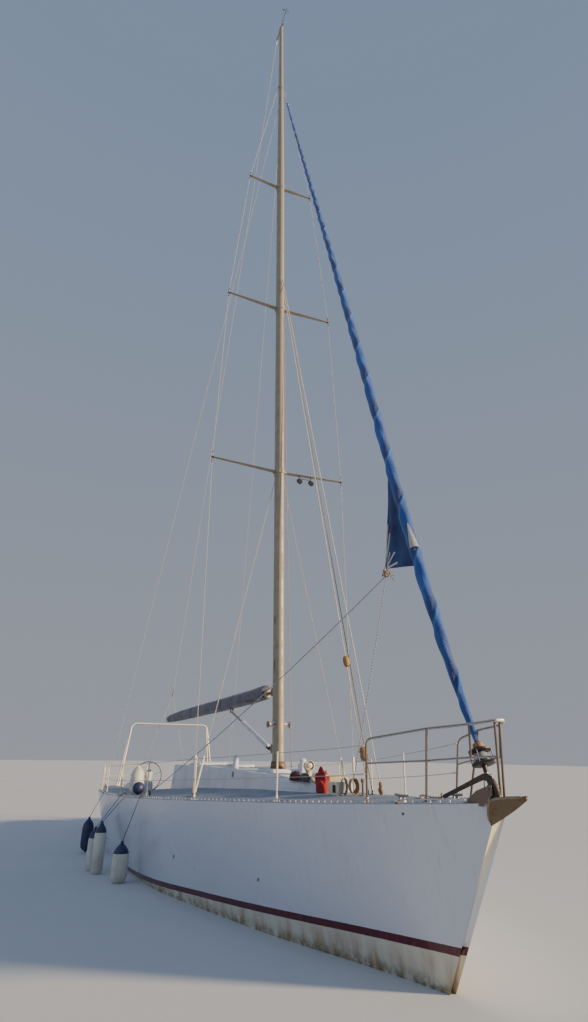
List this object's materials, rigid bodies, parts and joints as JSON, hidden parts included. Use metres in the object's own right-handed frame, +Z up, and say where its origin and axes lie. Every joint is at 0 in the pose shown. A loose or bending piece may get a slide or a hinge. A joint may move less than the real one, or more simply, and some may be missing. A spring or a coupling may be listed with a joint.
{
  "type": "sailing yacht",
  "caption": "Single-masted sailing yacht with a fin keel and spade rudder, furled headsail, covered boom, aft cockpit with twin wheels.",
  "frame": {"origin": "on the waterline plane and the centreline, 8.7 m aft of the stem at the waterline, at the point where the water holds the boat up", "axes": "+X to the bow, +Y to port, +Z up"},
  "size_m": [18.605, 5.4629, 32.2003],
  "materials": {
    "gelcoat": "white polished gelcoat with a dark red boot stripe",
    "deck_gelcoat": "white non-slip gelcoat",
    "antifouling": "matt antifouling paint",
    "bronze": "dull bronze",
    "anodised": "anodised, weathered",
    "stainless": "polished stainless steel",
    "acrylic": "smoked acrylic",
    "black_fittings": "black fittings",
    "mast_boot": "brown mast coat",
    "sail_cloth_blue": "blue ultraviolet strip wound round the sail",
    "sail_cloth_navy": "navy sail cloth",
    "cover_cloth": "grey-purple acrylic cloth",
    "bag_cloth": "red bag cloth",
    "galvanised": "worn galvanising with rust",
    "fender_navy": "navy vinyl",
    "fender_white": "white vinyl, yellowed"
  },
  "bodies": {
    "hull": {"hull": "gelcoat", "topsides_fore": "gelcoat", "topsides_aft": "gelcoat", "coachroof": "deck_gelcoat", "keel_fin": "antifouling", "keel_bulb": "antifouling", "shaft_bracket": "bronze", "toe_rail_stb": "anodised", "toe_rail_port": "anodised", "mast": "anodised", "spreaders_lower": "anodised", "spreaders_middle": "anodised", "spreaders_upper": "anodised", "mainsheet_track": "anodised", "guard_rail_stb": "stainless", "guard_rail_port": "stainless", "pulpit": "stainless", "stern_rail_stb": "stainless", "stern_rail_port": "stainless", "stern_arch": "stainless", "forestay_top": "stainless", "stem_fitting": "stainless", "shrouds_stb": "stainless", "shrouds_port": "stainless", "backstay": "stainless", "runner_stb": "stainless", "runner_port": "stainless", "primary_winch_stb": "stainless", "primary_winch_port": "stainless", "washboards": "acrylic", "floodlights": "black_fittings", "masthead": "black_fittings", "furler_drum": "black_fittings", "mast_collar": "mast_boot", "furled_genoa": "sail_cloth_blue", "genoa_clew": "sail_cloth_navy", "anchor": "galvanised", "coaming_stb": "deck_gelcoat", "coaming_port": "deck_gelcoat", "helm_pedestal_stb": "deck_gelcoat", "helm_pedestal_port": "deck_gelcoat", "fender_aft": "fender_navy", "fender_quarter": "fender_white", "fender_mid": "fender_white", "fender_fore": "fender_white", "fender_stowed": "fender_white", "sail_bag": "bag_cloth"},
    "rudder": {"rudder": "antifouling"},
    "wheel_stb": {"wheel_stb": "stainless"},
    "wheel_port": {"wheel_port": "stainless"},
    "propeller": {"propeller": "bronze"},
    "fore_hatch": {"fore_hatch": "acrylic"},
    "saloon_hatch": {"saloon_hatch": "acrylic"},
    "companionway_hatch": {"companionway_hatch": "deck_gelcoat"},
    "gooseneck": {"gooseneck_toggle": "stainless", "vang_toggle": "stainless"},
    "boom": {"boom": "anodised", "sail_cover": "cover_cloth"},
    "vang_tube": {"vang_tube": "stainless"},
    "vang_rod": {"vang_rod": "stainless"}
  },
  "joints": [
    {"name": "rudder_turn", "type": "hinge", "parent": "hull", "child": "rudder", "pos_m": [-6.85, 0, 0], "axis": [0, 0, 1], "range_deg": [-35, 35]},
    {"name": "wheel_stb_turn", "type": "hinge", "parent": "hull", "child": "wheel_stb", "pos_m": [-5.8, -0.8, 1.56], "axis": [1, 0, 0], "range_deg": [-282, 282]},
    {"name": "wheel_port_turn", "type": "hinge", "parent": "hull", "child": "wheel_port", "pos_m": [-5.8, 0.8, 1.56], "axis": [1, 0, 0], "range_deg": [-282, 282]},
    {"name": "propeller_spin", "type": "hinge", "parent": "hull", "child": "propeller", "pos_m": [-5.96625, 0, -0.83958], "axis": [-0.9903, 0, -0.1392], "continuous": true},
    {"name": "fore_hatch_lift", "type": "hinge", "parent": "hull", "child": "fore_hatch", "pos_m": [5.85, 0, 1.8801], "axis": [0, 1, 0], "range_deg": [0, 95]},
    {"name": "saloon_hatch_lift", "type": "hinge", "parent": "hull", "child": "saloon_hatch", "pos_m": [1.66, 0, 1.9885], "axis": [0, 1, 0], "range_deg": [0, 95]},
    {"name": "companionway_slide", "type": "slide", "parent": "hull", "child": "companionway_hatch", "axis": [1, 0, 0], "range_m": [0, 0.65]},
    {"name": "boom_swing", "type": "hinge", "parent": "hull", "child": "gooseneck", "pos_m": [3.29, 0, 3.39], "axis": [-0.0427, 0, 0.9991], "range_deg": [-85, 75]},
    {"name": "boom_lift", "type": "hinge", "parent": "gooseneck", "child": "boom", "pos_m": [3.22829, -0.0054, 3.38736], "axis": [-0.0871, 0.9962, -0.0037], "range_deg": [-2, 10]},
    {"name": "vang_pitch", "type": "hinge", "parent": "gooseneck", "child": "vang_tube", "pos_m": [3.2736, -0.0054, 2.32833], "axis": [-0.0871, 0.9962, -0.0037], "range_deg": [-2.5, 9.5]},
    {"name": "vang_extend", "type": "slide", "parent": "vang_tube", "child": "vang_rod", "axis": [-0.9306, -0.08, 0.3571], "range_m": [-0.045, 0.2]}
  ],
  "couplings": [
    {"joint": "wheel_stb_turn", "follows": "rudder_turn", "ratio": 8},
    {"joint": "wheel_port_turn", "follows": "rudder_turn", "ratio": 8},
    {"joint": "vang_pitch", "follows": "boom_lift", "ratio": 0.7991},
    {"joint": "vang_extend", "follows": "boom_lift", "m_per_rad": 0.9491}
  ]
}
